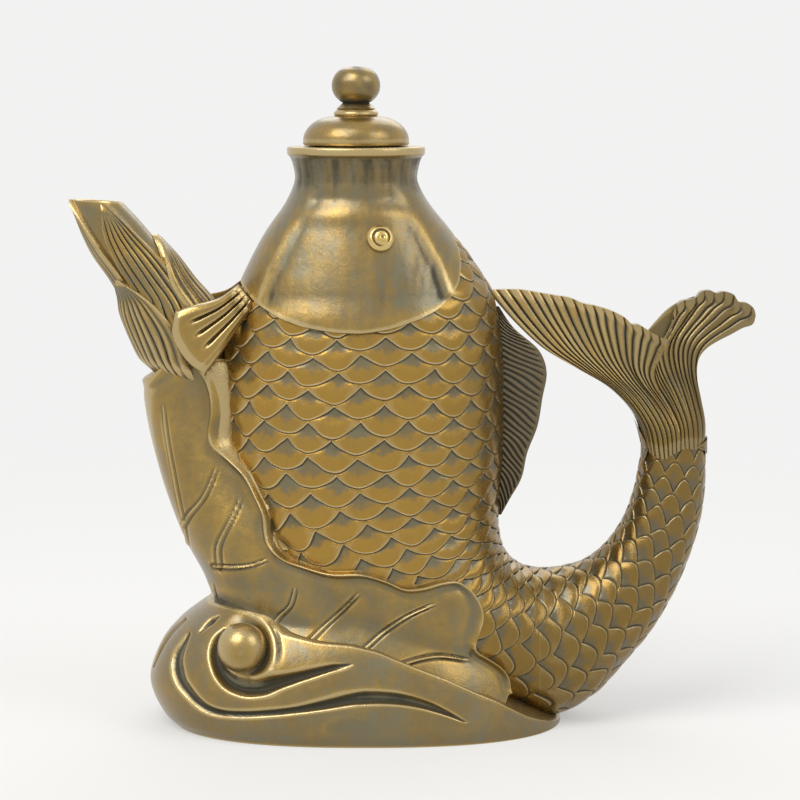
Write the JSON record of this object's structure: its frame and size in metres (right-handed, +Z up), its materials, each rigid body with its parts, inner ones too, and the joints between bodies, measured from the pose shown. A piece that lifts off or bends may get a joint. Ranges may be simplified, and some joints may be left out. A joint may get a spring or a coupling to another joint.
{
  "type": "wine ewer",
  "caption": "Small cast bronze wine ewer shaped as a leaping carp, with a lotus bud spout, scaled tail handle, lotus leaf, wave base and lift-off lid.",
  "frame": {"origin": "middle of the part's box, on the surface it stands on", "axes": "+X from the spout to the tail handle, +Z up, -Y the near flank of the fish"},
  "size_m": [0.1712, 0.0686, 0.1633],
  "materials": {
    "aged_bronze": "satin olive-brown patina over cast bronze",
    "worn_bronze": "satin patina rubbed golden on the high spots",
    "dark_bronze": "dull dark patina",
    "bright_brass": "polished by handling"
  },
  "bodies": {
    "ewer": {"fish_body": "aged_bronze", "fish_head": "aged_bronze", "tail_root": "aged_bronze", "tail_fin": "worn_bronze", "dorsal_fin": "dark_bronze", "pectoral_fin_near": "worn_bronze", "pectoral_fin_far": "worn_bronze", "eye_near": "bright_brass", "eye_far": "bright_brass", "spout_tube": "aged_bronze", "spout_petal_upper_near": "worn_bronze", "spout_petal_upper_far": "worn_bronze", "spout_petal_lower_near": "worn_bronze", "spout_petal_lower_far": "worn_bronze", "spout_petal_side": "worn_bronze", "spout_petal_inner": "worn_bronze", "lotus_leaf": "worn_bronze", "wave_base": "aged_bronze", "bottom_plate": "dark_bronze"},
    "lid": {"lid_dome": "aged_bronze", "lid_spigot": "dark_bronze", "knob_ring": "worn_bronze", "lid_knob": "worn_bronze", "knob_rivet": "dark_bronze"}
  },
  "joints": [
    {"name": "lid_lift", "type": "slide", "parent": "ewer", "child": "lid", "axis": [0, 0, 1], "range_m": [0, 0.045]}
  ]
}
